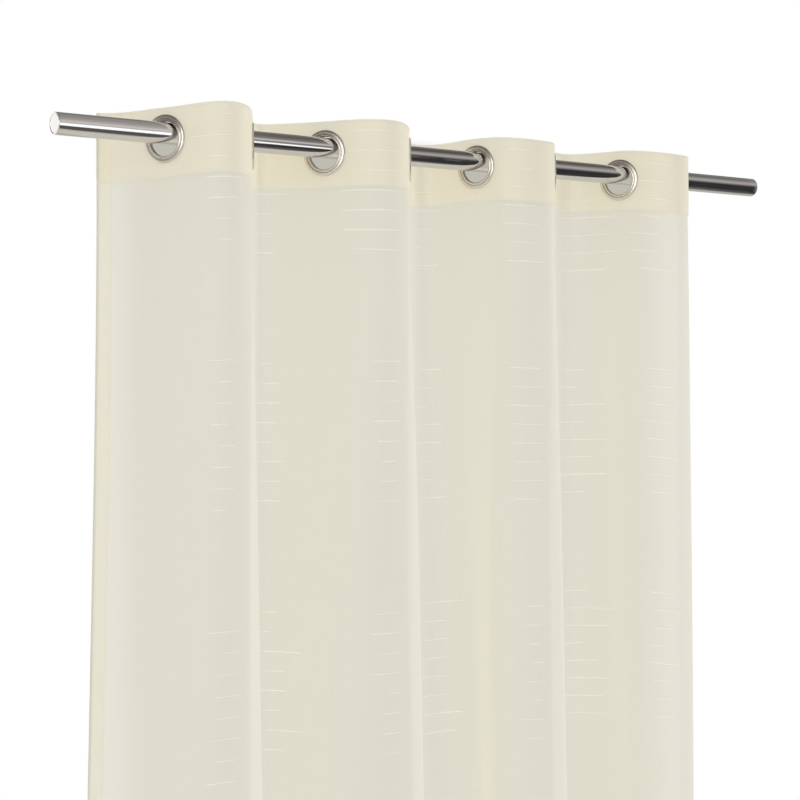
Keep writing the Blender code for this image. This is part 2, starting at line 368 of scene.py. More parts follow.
def top_edge_rises():
    """Flat positions of the corners, crossings and fold middles, and the top edge's rise there."""
    knots = [(-SIDE_MARGIN, CROSSINGS[0].rise - CORNER_SAG)]
    for index, line in enumerate(CROSSINGS):
        knots.append((index * EYELET_PITCH, line.rise))
        if index < len(FOLDS):
            knots.append(((index + 0.5) * EYELET_PITCH, FOLDS[index].rise))
    knots.append((len(FOLDS) * EYELET_PITCH + SIDE_MARGIN, CROSSINGS[-1].rise - CORNER_SAG))
    return np.array(knots)


def lift(flat):
    """How far the top edge rides up or sags at flat positions."""
    places, rises = top_edge_rises().T
    span = np.clip(np.searchsorted(places, flat) - 1, 0, len(places) - 2)
    run = smooth((flat - places[span]) / (places[span + 1] - places[span]))
    return rises[span] + (rises[span + 1] - rises[span]) * run


def relief(flat, depth):
    """Height of the creases, and of the slight waviness of hanging voile."""
    free = smooth((depth - HEADING_DEPTH) / 160.0)
    height = np.zeros_like(flat)
    for crease in CREASES:
        run = (depth - crease.top) / (crease.bottom - crease.top)
        fade = smooth(run * 5) * smooth((1 - run) * 2.5)
        across = (flat - crease.flat - crease.wander * smooth(run)) / crease.width
        height += crease.height * fade * np.exp(-across ** 2)
    wave = 0.32 * np.sin(flat / 17.0 + 1.7 * np.sin(depth / 260.0))
    wave += 0.24 * np.sin(flat / 9.3 - depth / 410.0 + 2.1)
    pucker = 0.22 * np.sin(flat / 2.9 + 0.6 * np.sin(flat / 41.0)) * np.exp(-((depth - 92) / 14.0) ** 2)
    return height + free * wave + pucker


def front_layer(depth):
    """How far the front voile lies off the middle of the cloth: over the tape, then behind it."""
    sunk = smooth((depth - TURNED_TOP) / GROOVE_WIDTH) * (FRONT_LAYER + GROOVE_DEPTH)
    back = smooth((depth - TURNED_TOP - GROOVE_WIDTH) / 30) * GROOVE_DEPTH
    return float(FRONT_LAYER - sunk + back)


class Folds:
    """Looks up points of the hanging cloth, keeping each depth's plan."""

    def __init__(self):
        self.known = {}

    def row(self, flat, depth, forward):
        """Points in metres of one depth's row, set off to the front by given distances."""
        depth = float(depth)
        if depth not in self.known:
            self.known[depth] = plan_curve(depth)
        line, plan, front = self.known[depth]
        flat = np.asarray(flat, float)
        forward = np.broadcast_to(forward, flat.shape) + relief(flat, depth)
        points = np.empty((len(flat), 3))
        for axis in range(2):
            points[:, axis] = np.interp(flat, line, plan[:, axis])
            points[:, axis] += np.interp(flat, line, front[:, axis]) * forward
        points[:, 2] = TOP_EDGE - depth + lift(flat)
        return points * MM


folds = Folds()


def eyelet_centre(index):
    """Height of an eyelet's centre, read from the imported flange."""
    low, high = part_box(f"eyelet_{index + 1}_front")
    return (low[2] + high[2]) / 2 / MM


PANEL_WIDTH = len(FOLDS) * EYELET_PITCH + 2 * SIDE_MARGIN
EYELET_HEIGHTS = [eyelet_centre(index) for index in range(len(CROSSINGS))]


def eyelet_matrix(index):
    """Place of an eyelet: X along the cloth, Y up, Z out of the cloth's front."""
    line = CROSSINGS[index]
    angle = radians(line.slope) * (1 if index % 2 else -1)
    along = Vector((cos(angle), sin(angle), 0.0))
    up = Vector((0.0, 0.0, 1.0))
    turn = Matrix((along, up, along.cross(up))).transposed().to_4x4()
    return Matrix.Translation(Vector((line.x, 0.0, EYELET_HEIGHTS[index])) * MM) @ turn


class Graph:
    """Short calls for a material's or world's nodes."""

    def __init__(self, tree):
        self.tree = tree

    def add(self, kind, settings=None, **inputs):
        """A node with its settings, and its inputs by name, or by number after an underscore."""
        node = self.tree.nodes.new(kind)
        for name, value in (settings or {}).items():
            setattr(node, name, value)
        for name, value in inputs.items():
            key = int(name[1:]) if name[0] == "_" else name.replace("_", " ")
            self.set(node.inputs[key], value)
        return node

    def set(self, socket, value):
        """Links a socket to a node's first output or to an output, or sets its value."""
        if isinstance(value, bpy.types.NodeSocket):
            self.tree.links.new(value, socket)
        elif isinstance(value, bpy.types.Node):
            self.tree.links.new(value.outputs[0], socket)
        else:
            socket.default_value = value

    def math(self, operation, first, second=0.0, third=0.0):
        return self.add("ShaderNodeMath", {"operation": operation}, _0=first, _1=second, _2=third)

    def remap(self, value, low, high, to_low=0.0, to_high=1.0):
        """Eases from one value to another while the input goes from low to high."""
        node = self.add("ShaderNodeMapRange", {"interpolation_type": "SMOOTHSTEP"}, Value=value)
        node.inputs["From Min"].default_value = low
        node.inputs["From Max"].default_value = high
        node.inputs["To Min"].default_value = to_low
        node.inputs["To Max"].default_value = to_high
        return node

    def blend(self, factor, first, second):
        node = self.add("ShaderNodeMix", {"data_type": "RGBA"}, Factor=factor)
        self.set(node.inputs[6], first)
        self.set(node.inputs[7], second)
        return node.outputs[2]

    def noise(self, vector, scale, detail=2.0, roughness=0.5):
        node = self.add("ShaderNodeTexNoise", Vector=vector, Scale=scale, Detail=detail)
        node.inputs["Roughness"].default_value = roughness
        return node


def new_material(name):
    """An empty node material with its output."""
    material = bpy.data.materials.new(name)
    material.use_nodes = True
    material.node_tree.nodes.clear()
    graph = Graph(material.node_tree)
    return material, graph, graph.add("ShaderNodeOutputMaterial")


def flat_cloth(graph):
    """Flat position and depth in metres, read from the cloth's own UV map."""
    place = graph.add("ShaderNodeUVMap", {"uv_map": "cloth"})
    split = graph.add("ShaderNodeSeparateXYZ", Vector=place)
    return place, split.outputs["X"], split.outputs["Y"]


def thread_profile(graph, coordinate, pitch):
    """Rounded ridges, one for each thread."""
    return graph.math("ABSOLUTE", graph.math("SINE", graph.math("MULTIPLY", coordinate, pi / pitch)))


def plain_weave(graph, across, down, warp_pitch, weft_pitch):
    """Height of a plain weave, with each thread passing over and under its neighbours."""
    warp = thread_profile(graph, across, warp_pitch)
    weft = thread_profile(graph, down, weft_pitch)
    over = graph.math(
        "MULTIPLY",
        graph.math("SINE", graph.math("MULTIPLY", across, pi / warp_pitch)),
        graph.math("SINE", graph.math("MULTIPLY", down, pi / weft_pitch)),
    )
    ridges = graph.math("MULTIPLY", graph.math("ADD", warp, weft), 0.35)
    return graph.math("MULTIPLY_ADD", over, 0.3, ridges)


def stretched_noise(graph, place, along, down, detail=2.0):
    """Noise drawn out along one direction of the cloth."""
    scaled = graph.add("ShaderNodeVectorMath", {"operation": "MULTIPLY"}, _0=place, _1=(along, down, 1.0))
    return graph.noise(scaled, 1.0, detail).outputs["Fac"]


def voile_material():
    """Sheer ivory voile: fine threads with a slub, a little light let through."""
    material, graph, output = new_material("ivory_voile_sheer")
    place, across, down = flat_cloth(graph)
    weave = plain_weave(graph, across, down, VOILE_WARP, VOILE_WEFT)
    weft_slub = stretched_noise(graph, place, 14.0, 1100.0)
    warp_slub = stretched_noise(graph, place, 1200.0, 7.0)
    cloudy = stretched_noise(graph, place, 9.0, 5.0, 3.0)
    slub = graph.math("MULTIPLY", graph.math("ADD", weft_slub, warp_slub), 0.5)
    tone = graph.math("MULTIPLY_ADD", cloudy, 0.35, graph.math("MULTIPLY", slub, 0.65))
    shade = graph.remap(tone, 0.36, 0.64)
    colour = graph.blend(shade, (0.914, 0.894, 0.804, 1.0), (0.922, 0.903, 0.814, 1.0))
    height = graph.math("MULTIPLY_ADD", slub, 0.9, weave)
    bump = graph.add("ShaderNodeBump", Height=height, Strength=0.07, Distance=0.00015)
    shader = graph.add("ShaderNodeBsdfPrincipled", Base_Color=colour, Normal=bump)
    shader.inputs["Roughness"].default_value = 0.82
    shader.inputs["Specular IOR Level"].default_value = 0.22
    shader.inputs["Sheen Weight"].default_value = 0.12
    shader.inputs["Sheen Roughness"].default_value = 0.5
    through = graph.add("ShaderNodeBsdfTranslucent", Color=colour, Normal=bump)
    cloth = graph.add("ShaderNodeMixShader", _0=0.5, _1=shader, _2=through)
    clear = graph.add("ShaderNodeBsdfTransparent")
    open_share = graph.remap(slub, 0.36, 0.64, 0.137, 0.123)
    sheer = graph.add("ShaderNodeMixShader", _0=open_share, _1=cloth, _2=clear)
    graph.set(output.inputs["Surface"], sheer)
    return material


def tape_material():
    """Dense heading tape, creamier than the voile."""
    material, graph, output = new_material("heading_tape_weave")
    place, across, down = flat_cloth(graph)
    weave = plain_weave(graph, across, down, 0.00095, 0.00110)
    mottled = stretched_noise(graph, place, 60.0, 90.0, 3.0)
    shade = graph.remap(mottled, 0.35, 0.65)
    colour = graph.blend(shade, (0.866, 0.836, 0.765, 1.0), (0.878, 0.851, 0.787, 1.0))
    bump = graph.add("ShaderNodeBump", Height=weave, Strength=0.15, Distance=0.0002)
    shader = graph.add("ShaderNodeBsdfPrincipled", Base_Color=colour, Normal=bump)
    shader.inputs["Roughness"].default_value = 0.9
    shader.inputs["Specular IOR Level"].default_value = 0.2
    through = graph.add("ShaderNodeBsdfTranslucent", Color=colour, Normal=bump)
    cloth = graph.add("ShaderNodeMixShader", _0=0.45, _1=shader, _2=through)
    graph.set(output.inputs["Surface"], cloth)
    return material


def yarn_material(name, dark, light, twist):
    """Soft twisted yarn, for the dashes and the sewing thread."""
    material, graph, output = new_material(name)
    place, across, down = flat_cloth(graph)
    ply = graph.math("SINE", graph.math("MULTIPLY", graph.math("ADD", across, down), tau / twist))
    fuzz = stretched_noise(graph, place, 900.0, 2400.0, 2.0)
    shade = graph.remap(fuzz, 0.32, 0.68)
    colour = graph.blend(shade, (*dark, 1.0), (*light, 1.0))
    height = graph.math("MULTIPLY_ADD", ply, 0.4, fuzz)
    bump = graph.add("ShaderNodeBump", Height=height, Strength=0.4, Distance=0.0001)
    shader = graph.add("ShaderNodeBsdfPrincipled", Base_Color=colour, Normal=bump)
    shader.inputs["Roughness"].default_value = 0.75
    shader.inputs["Sheen Weight"].default_value = 0.2
    shader.inputs["Specular IOR Level"].default_value = 0.3
    graph.set(output.inputs["Surface"], shader)
    return material


def nickel_material():
    """Satin nickel with fine turned lines and a few rubbed places; inside the barrel it is rougher and
    painted darker as shade.
    """
    material, graph, output = new_material("satin_nickel_turned")
    place = graph.add("ShaderNodeTexCoord").outputs["Object"]
    split = graph.add("ShaderNodeSeparateXYZ", Vector=place)
    radius = graph.math(
        "SQRT",
        graph.math(
            "ADD",
            graph.math("MULTIPLY", split.outputs["X"], split.outputs["X"]),
            graph.math("MULTIPLY", split.outputs["Y"], split.outputs["Y"]),
        ),
    )
    ring = graph.math("ADD", radius, graph.math("MULTIPLY", split.outputs["Z"], 0.7))
    turned = graph.add("ShaderNodeTexNoise", {"noise_dimensions": "1D"}, W=ring, Scale=5200.0, Detail=2.0)
    worn = graph.noise(place, 140.0, 3.0).outputs["Fac"]
    rough = graph.remap(worn, 0.35, 0.70, 0.20, 0.14)
    colour = graph.blend(worn, (0.68, 0.645, 0.605, 1.0), (0.75, 0.715, 0.675, 1.0))
    # Painted shade: the inner wall of the bore is coloured darker, standing in for the shade inside the
    # barrel's recess; its roughness also rises there.
    bore = BORE_RADIUS * MM
    inside = graph.remap(radius, bore * 1.02, bore * 1.005)
    colour = graph.blend(inside, colour, (0.40, 0.375, 0.345, 1.0))
    rough = graph.math("MULTIPLY_ADD", inside, 0.15, rough)
    bump = graph.add("ShaderNodeBump", Height=turned.outputs["Fac"], Strength=0.06, Distance=0.00008)
    shader = graph.add("ShaderNodeBsdfPrincipled", Base_Color=colour, Roughness=rough, Normal=bump)
    shader.inputs["Metallic"].default_value = 1.0
    graph.set(output.inputs["Surface"], shader)
    return material


def chrome_material():
    """Polished chrome tube with hairline scratches and faint smears."""
    material, graph, output = new_material("polished_chrome_tube")
    place = graph.add("ShaderNodeTexCoord").outputs["Object"]
    drawn = graph.add("ShaderNodeVectorMath", {"operation": "MULTIPLY"}, _0=place, _1=(6.0, 900.0, 900.0))
    hairline = graph.noise(drawn, 1.0, 3.0).outputs["Fac"]
    smears = graph.noise(place, 26.0, 4.0).outputs["Fac"]
    rough = graph.remap(smears, 0.40, 0.72, 0.045, 0.115)
    colour = graph.blend(hairline, (0.66, 0.655, 0.66, 1.0), (0.74, 0.735, 0.74, 1.0))
    bump = graph.add("ShaderNodeBump", Height=hairline, Strength=0.04, Distance=0.00005)
    shader = graph.add("ShaderNodeBsdfPrincipled", Base_Color=colour, Roughness=rough, Normal=bump)
    shader.inputs["Metallic"].default_value = 1.0
    graph.set(output.inputs["Surface"], shader)
    return material


def floor_material(radius):
    """Pale floor that fades out towards its rim."""
    material, graph, output = new_material("pale_floor")
    place = graph.add("ShaderNodeTexCoord").outputs["Object"]
    away = graph.add("ShaderNodeVectorMath", {"operation": "LENGTH"}, _0=place)
    grain = graph.noise(place, 35.0, 3.0).outputs["Fac"]
    colour = graph.blend(grain, (0.80, 0.80, 0.79, 1.0), (0.83, 0.83, 0.82, 1.0))
    solid = graph.add("ShaderNodeBsdfPrincipled", Base_Color=colour)
    solid.inputs["Roughness"].default_value = 0.8
    clear = graph.add("ShaderNodeBsdfTransparent")
    fade = graph.remap(away.outputs["Value"], radius * 0.45, radius * 0.98)
    mixed = graph.add("ShaderNodeMixShader", _0=fade, _1=solid, _2=clear)
    graph.set(output.inputs["Surface"], mixed)
    return material


def add_mesh(name, points, faces, material, uv=None, matrix=None):
    """An object from points and faces, smooth, with its material and flat coordinates."""
    mesh = bpy.data.meshes.new(name)
    mesh.from_pydata([tuple(point) for point in points], [], [tuple(face) for face in faces])
    mesh.shade_smooth()
    mesh.materials.append(material)
    if uv is not None:
        layer = mesh.uv_layers.new(name="cloth")
        index = np.empty(len(mesh.loops), dtype=int)
        mesh.loops.foreach_get("vertex_index", index)
        layer.data.foreach_set("uv", np.asarray(uv, float)[index].ravel())
    piece = bpy.data.objects.new(name, mesh)
    bpy.context.scene.collection.objects.link(piece)
    if matrix is not None:
        piece.matrix_world = matrix
    return piece


def grid_faces(rows, columns):
    """Quads of a grid of points kept row by row, facing the cloth's front."""
    corner = np.arange(rows * columns).reshape(rows, columns)
    return np.stack(
        (corner[1:, :-1], corner[1:, 1:], corner[:-1, 1:], corner[:-1, :-1]), axis=-1
    ).reshape(-1, 4)


def cloth_columns(margin):
    """Flat positions across a layer: close together at the eyelets, wider in the folds."""
    columns = [np.linspace(-SIDE_MARGIN + margin, -CLAMPED, 13)]
    for index in range(len(CROSSINGS)):
        centre = index * EYELET_PITCH
        columns.append(np.linspace(centre - CLAMPED, centre + CLAMPED, 25)[1:])
        if index < len(FOLDS):
            columns.append(np.linspace(centre + CLAMPED, centre + EYELET_PITCH - CLAMPED, 25)[1:])
    end = len(FOLDS) * EYELET_PITCH
    columns.append(np.linspace(end + CLAMPED, end + SIDE_MARGIN - margin, 13)[1:])
    return np.concatenate(columns)


def cut_eyelet_holes(points, flat, height, faces):
    """Leaves out the faces over each eyelet's hole, and draws the rim onto its circle."""
    keep = np.ones(len(faces), bool)
    for index, centre_height in enumerate(EYELET_HEIGHTS):
        across = flat - index * EYELET_PITCH
        up = height - centre_height
        away = np.hypot(across, up)
        inside = away < HOLE_RADIUS - 0.6
        cut = inside[faces].any(axis=1)
        rim = np.unique(faces[cut])
        rim = rim[~inside[rim]]
        keep &= ~cut
        pull = (HOLE_RADIUS - away[rim]) * MM
        along = np.array(eyelet_matrix(index).to_3x3().col[0])
        points[rim] += np.outer(pull * across[rim] / away[rim], along)
        points[rim, 2] += pull * up[rim] / away[rim]
    return faces[keep]


def make_panel(material):
    """The voile panel in one sheet, with its turned top, side hems and bottom hem."""
    across = cloth_columns(0.0)
    turn = np.array((SIDE_HEM, SIDE_HEM * 0.66, SIDE_HEM * 0.33, 1.2))
    low_edge, high_edge = across[0], across[-1]
    flat = np.concatenate((low_edge + turn, across, high_edge - turn[::-1]))
    hem = np.full(len(turn), HEM_LAYER)
    side = np.concatenate((hem, np.zeros(len(across)), hem))
    side[len(turn)] = side[-len(turn) - 1] = HEM_LAYER / 2

    turned = np.linspace(TURNED_TOP, 1.0, 26)
    rows = [(depth, BACK_LAYER) for depth in turned]
    rows.append((0.0, (FRONT_LAYER + BACK_LAYER) / 2))
    rows += [(depth, FRONT_LAYER) for depth in turned[::-1]]
    groove = TURNED_TOP + np.array((0.6, 1.2, 1.8, 2.4, 3.2, 5.0, 8.0, 13.0))
    below = np.concatenate((groove, np.linspace(groove[-1], PANEL_DROP - 1.0, 126)[1:]))
    rows += [(depth, front_layer(depth)) for depth in below]
    rows.append((PANEL_DROP, HEM_LAYER / 2))
    rows += [(depth, HEM_LAYER) for depth in np.linspace(PANEL_DROP - 1.0, PANEL_DROP - BOTTOM_HEM, 5)]

    points = np.concatenate([folds.row(flat, depth, side + layer) for depth, layer in rows])
    all_flat = np.tile(flat, len(rows))
    height = points[:, 2] / MM
    faces = grid_faces(len(rows), len(flat))
    in_heading = height > TOP_EDGE - TURNED_TOP - 6
    heading_height = np.where(in_heading, height, 1e6)
    faces = cut_eyelet_holes(points, all_flat, heading_height, faces)
    uv = np.column_stack((all_flat, np.repeat([depth for depth, _ in rows], len(flat)))) * MM
    return add_mesh("voile_panel", points, faces, material, uv)


def make_tape(material):
    """The stiff tape inside the heading."""
    flat = cloth_columns(TAPE_INSET)
    depths = np.linspace(TAPE_INSET, TAPE_INSET + TAPE_HEIGHT, 27)
    middle = (FRONT_LAYER + BACK_LAYER) / 2
    points = np.concatenate([folds.row(flat, depth, middle) for depth in depths])
    all_flat = np.tile(flat, len(depths))
    faces = cut_eyelet_holes(points, all_flat, points[:, 2] / MM, grid_faces(len(depths), len(flat)))
    uv = np.column_stack((all_flat, np.repeat(depths, len(flat)))) * MM
    return add_mesh("heading_tape_sheet", points, faces, material, uv)


class StrandMesh:
    """Many short closed strands gathered into one mesh."""

    def __init__(self, sides):
        self.sides = sides
        self.points = []
        self.uv = []
        self.faces = []
        self.count = 0

    def add(self, path, radii_out, radii_up, flat_uv):
        """A strand along a path that runs roughly level, with its own radius at each point."""
        way = np.gradient(path, axis=0)
        way /= np.linalg.norm(way, axis=1)[:, None]
        up = np.tile((0.0, 0.0, 1.0), (len(path), 1))
        steep = np.abs(way[:, 2]) > 0.9
        up[steep] = (1.0, 0.0, 0.0)
        out = np.cross(way, up)
        out /= np.linalg.norm(out, axis=1)[:, None]
        up = np.cross(out, way)
        angles = np.arange(self.sides) * tau / self.sides
        ring = (
            out[:, None, :] * (np.cos(angles)[None, :, None] * radii_out[:, None, None])
            + up[:, None, :] * (np.sin(angles)[None, :, None] * radii_up[:, None, None])
        )
        self.points.append((path[:, None, :] + ring * MM).reshape(-1, 3))
        self.uv.append(np.repeat(flat_uv, self.sides, axis=0))
        base = self.count + np.arange(len(path) * self.sides).reshape(len(path), self.sides)
        following = np.roll(base, -1, axis=1)
        quads = np.stack((base[:-1], following[:-1], following[1:], base[1:]), axis=-1)
        self.faces += [tuple(face) for face in quads.reshape(-1, 4)]
        self.faces.append(tuple(base[0][::-1]))
        self.faces.append(tuple(base[-1]))
        self.count += len(path) * self.sides

    def finish(self, name, material):
        return add_mesh(name, np.concatenate(self.points), self.faces, material, np.concatenate(self.uv))


def add_dash(strands, draw, depth, start, end):
    """One dash: a float of slightly uneven yarn that tapers at both ends, flatter on the heading."""
    steps = max(6, int((end - start) / 4))
    flat = np.linspace(start + draw.uniform(-1.5, 1.5), end + draw.uniform(-1.5, 1.5), steps)
    run = np.linspace(0, 1, steps)
    swell = np.clip(np.minimum(run, 1 - run) * 9, 0.12, 1.0)
    path = folds.row(flat, depth, front_layer(depth) + 0.28)
    path[:, 2] += (0.14 * np.sin(flat / 13.0 + depth) + 0.06 * np.sin(flat / 4.1)) * MM
    uneven = 1 + 0.14 * np.sin(flat / 3.3 + depth) + 0.08 * np.sin(flat / 1.7 + start)
    pressed = 0.72 if depth < TURNED_TOP else 1.0
    radius = swell * uneven * draw.uniform(0.58, 1.0) * pressed
    uv = np.column_stack((flat, np.full(steps, depth))) * MM
    strands.add(path, 0.32 * radius, 0.74 * radius, uv)


def make_dashes(material):
    """Raised floats of thicker yarn, in groups of rows that repeat down the whole cloth."""
    draw = np.random.default_rng(DASH_SEED)
    strands = StrandMesh(6)
    groups = ceil(PANEL_DROP / DASH_PERIOD) + 1
    for column, slips in zip(DASH_CHART, WEFT_SLIPS):
        for group in range(groups):
            chart = column[0] if group == 0 else column[1 + (group - 1) % 2]
            for row, dash in enumerate(chart):
                depth = DASH_FIRST_DEPTH + (group - 1) * DASH_PERIOD + row * DASH_SPACING
                depth += float(np.interp(depth, SLIP_DEPTHS, slips))
                if dash is not NO_DASH and depth < PANEL_DROP - 6.0:
                    add_dash(strands, draw, depth, *dash)
    return strands.finish("weft_dashes", material)


def stitch_run(strands, place, length, draw):
    """A row of lockstitches along a line that place() gives for distances from its start."""
    for index in range(int(length / STITCH_PITCH)):
        start = index * STITCH_PITCH + draw.uniform(-0.1, 0.1)
        distance = np.linspace(start, start + STITCH_PITCH - STITCH_GAP, 4)
        path, uv = place(distance)
        arch = np.array((0.55, 1.0, 1.0, 0.55))
        strands.add(path, 0.16 * arch, 0.19 * arch, uv)


def make_stitches(material):
    """Sewing: two lines on the heading, one down each side hem and one along the bottom hem."""
    draw = np.random.default_rng(STITCH_SEED)

    def level(depth, forward):
        def place(distance):
            flat = distance - SIDE_MARGIN + 1.0
            uv = np.column_stack((flat, np.full(len(flat), depth))) * MM
            return folds.row(flat, depth, forward), uv
        return place

    def upright(flat, forward):
        def place(distance):
            depth = distance + 4.0
            rows = []
            for value in depth:
                known = round(value / 8.0) * 8.0
                point = folds.row([flat], known, forward + front_layer(known))[0]
                point[2] -= (value - known) * MM
                rows.append(point)
            return np.array(rows), np.column_stack((np.full(len(depth), flat), depth)) * MM
        return place

    heading = StrandMesh(5)
    for depth in (TURNED_TOP - 1.4, 2.6):
        stitch_run(heading, level(depth, FRONT_LAYER + HEADING_THREAD), PANEL_WIDTH - 3, draw)
    hems = StrandMesh(5)
    stitch_run(hems, level(PANEL_DROP - BOTTOM_HEM + 2, HEM_THREAD), PANEL_WIDTH - 3, draw)
    for flat in (-SIDE_MARGIN + SIDE_HEM - 2, len(FOLDS) * EYELET_PITCH + SIDE_MARGIN - SIDE_HEM + 2):
        stitch_run(hems, upright(flat, HEM_THREAD), PANEL_DROP - 8, draw)
    return heading.finish("heading_stitches", material), hems.finish("hem_stitches", material)


def arc(centre, radius, start, end, steps):
    """Profile points on an arc, as radius and height."""
    angles = np.radians(np.linspace(start, end, steps))
    return [(centre[0] + radius * cos(a), centre[1] + radius * sin(a)) for a in angles]


def flange_profile():
    """Radius and height round the front of an eyelet: domed flange, groove, lip and barrel."""
    seat = FRONT_LAYER + FLANGE_GAP
    end = -SEAT_HEIGHT - BARREL_PAST_SEAT
    profile = [(FLANGE_RADIUS - 0.15, seat), (BARREL_RADIUS, seat), (BARREL_RADIUS, end + 0.5)]
    profile += arc((BARREL_RADIUS - 0.65, end + 0.55), 0.65, 0, -180, 7)
    profile += [(BORE_RADIUS, end + 1.2), (BORE_RADIUS, seat - 0.4)]
    profile += arc((BORE_RADIUS + LIP_RADIUS, seat + 0.25), LIP_RADIUS, 180, 75, 9)
    profile += [(radius, seat + height) for radius, height in FLANGE_GROOVE]
    for reach, first, last, steps in ((CREST_INWARD, 150, 98, 6), (CREST_OUTWARD, 90, 0, 16)):
        for turn in np.radians(np.linspace(first, last, steps)):
            height = seat + CREST_FOOT + CREST_HEIGHT * sin(turn)
            profile.append((CREST_RADIUS + reach * cos(turn), height))
    return profile


def washer_profile():
    """Radius and height round the washer behind the cloth."""
    seat = -SEAT_HEIGHT
    low = seat - RIM_DEPTH
    profile = [(WASHER_BORE, seat), (FLANGE_RADIUS - 0.5, seat)]
    profile += arc((FLANGE_RADIUS - 1.4, seat - 0.95), 1.05, 55, -60, 7)
    profile += [(25.4, low + 0.12), (24.4, low), (23.5, low + 0.08), (WASHER_BORE + 0.2, low + 0.3)]
    profile += [(WASHER_BORE, low + 0.6)]
    return profile


def turned_mesh(name, profile, steps, material, matrix):
    """A closed profile turned about Z."""
    profile = np.array(profile)
    angles = np.arange(steps) * tau / steps
    points = np.empty((steps, len(profile), 3))
    points[:, :, 0] = np.cos(angles)[:, None] * profile[:, 0]
    points[:, :, 1] = np.sin(angles)[:, None] * profile[:, 0]
    points[:, :, 2] = profile[:, 1]
    corner = np.arange(steps * len(profile)).reshape(steps, len(profile))
    step = np.roll(corner, -1, axis=0)
    faces = np.stack(
        (corner, np.roll(corner, -1, axis=1), np.roll(step, -1, axis=1), step), axis=-1
    ).reshape(-1, 4)
    piece = add_mesh(name, points.reshape(-1, 3) * MM, faces, material, matrix=matrix)
    piece.data.set_sharp_from_angle(angle=radians(50))
    return piece


def make_eyelets(material):
    """Flanged front and washer of every eyelet."""
    pieces = []
    for index in range(len(CROSSINGS)):
        matrix = eyelet_matrix(index)
        number = index + 1
        front = turned_mesh(f"eyelet_{number}_flange", flange_profile(), EYELET_STEPS, material, matrix)
        back = turned_mesh(f"eyelet_{number}_washer", washer_profile(), EYELET_STEPS, material, matrix)
        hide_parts(f"eyelet_{number}_front")
        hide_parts(f"eyelet_{number}_back")
        pieces += [front, back]
    return pieces


def make_rod(material):
    """The rod, turned about its axis, with rounded edges and pressed-in ends."""
    low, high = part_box("rod")
    half = (high[0] - low[0]) / 2 / MM
    inner = [(0.0, half - 0.25), (9.6, half - 0.25), (10.3, half - 0.35)]
    inner += [(10.6, half - 0.7), (10.9, half - 0.3)]
    edge = arc((ROD_RADIUS - ROD_EDGE, half - ROD_EDGE), ROD_EDGE, 90, 0, 6)
    end = inner + edge
    lengths = np.linspace(half - 20, -half + 20, 25)
    profile = end + [(ROD_RADIUS, value) for value in lengths]
    profile += [(radius, -height) for radius, height in end[::-1]]
    steps = ROD_STEPS
    angles = np.arange(steps) * tau / steps
    turned = np.array(profile[1:-1])
    points = np.empty((len(turned), steps, 3))
    points[:, :, 0] = turned[:, 1][:, None]
    points[:, :, 1] = turned[:, 0][:, None] * np.cos(angles)
    points[:, :, 2] = turned[:, 0][:, None] * np.sin(angles)
    corner = np.arange(len(turned) * steps).reshape(len(turned), steps)
    step = np.roll(corner, -1, axis=1)
    faces = np.stack((corner[:-1], corner[1:], step[1:], step[:-1]), axis=-1).reshape(-1, 4)
    caps = [tuple(corner[0]), tuple(corner[-1][::-1])]
    faces = [tuple(face) for face in faces] + caps
    rod = add_mesh("rod_tube", points.reshape(-1, 3) * MM, faces, material)
    rod.data.set_sharp_from_angle(angle=radians(40))
    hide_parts("rod")
    return rod


def make_camera():
    """The camera at the photograph's place, with its angle of view."""
    data = bpy.data.cameras.new("camera")
    data.sensor_width = SENSOR_WIDTH
    data.lens = FOCAL_PIXELS * SENSOR_WIDTH / IMAGE_WIDTH
    data.clip_end = 60.0
    camera = bpy.data.objects.new("camera", data)
    camera.location = Vector(CAMERA_PLACE) * MM
    turn = Matrix.Rotation(-radians(CAMERA_YAW), 3, "Z")
    turn @= Matrix.Rotation(radians(90 + CAMERA_PITCH), 3, "X")
    turn @= Matrix.Rotation(radians(CAMERA_ROLL), 3, "Z")
    camera.rotation_euler = turn.to_euler()
    bpy.context.scene.collection.objects.link(camera)
    bpy.context.scene.camera = camera


def set_stops(ramp, stops):
    """Fills a colour ramp over heights from -1 to 1."""
    points = ramp.color_ramp.elements
    while len(points) < len(stops):
        points.new(0.5)
    for point, (height, colour) in zip(points, stops):
        point.position = (height + 1) / 2
        point.color = (*colour, 1.0)


# Cards and lights of the studio that polished metal mirrors: those in bands, then those that
# stand at one place
CREAM = (0.72, 0.68, 0.56)
BLACK = (0.04, 0.04, 0.04)
DARK = (0.12, 0.11, 0.11)
GREY = (0.30, 0.28, 0.27)
MIDDLE = (0.58, 0.54, 0.50)
PALE = (0.82, 0.78, 0.74)
LIGHT = (1.60, 1.60, 1.60)
CEILING = (0.25, 0.235, 0.205)
WALL = (0.58, 0.565, 0.50)
GLOW = (1.30, 1.28, 1.22)
HOOD = (0.34, 0.325, 0.29)
LIGHT_BOX = (2.30, 2.27, 2.20)
FAR_WALL = (0.55, 0.53, 0.48)

# The band that the metal sees at each height, from the front round to the right
FRONT_STOPS = (
    (-0.85, CREAM),
    (-0.75, DARK),
    (-0.40, DARK),
    (-0.30, LIGHT),
    (-0.05, LIGHT),
    (0.10, MIDDLE),
    (0.30, PALE),
    (0.55, MIDDLE),
    (1.00, GREY),
)
SIDE_STOPS = (
    (-0.85, CREAM),
    (-0.75, DARK),
    (-0.50, BLACK),
    (-0.30, BLACK),
    (-0.20, LIGHT),
    (-0.10, LIGHT),
    (0.00, GREY),
    (0.20, GREY),
    (0.35, PALE),
    (0.55, GREY),
    (0.90, DARK),
)
RIGHT_STOPS = (
    (-0.80, CREAM),
    (-0.70, DARK),
    (-0.60, BLACK),
    (0.00, BLACK),
    (0.20, GREY),
    (0.40, MIDDLE),
    (0.65, GREY),
    (0.75, DARK),
)

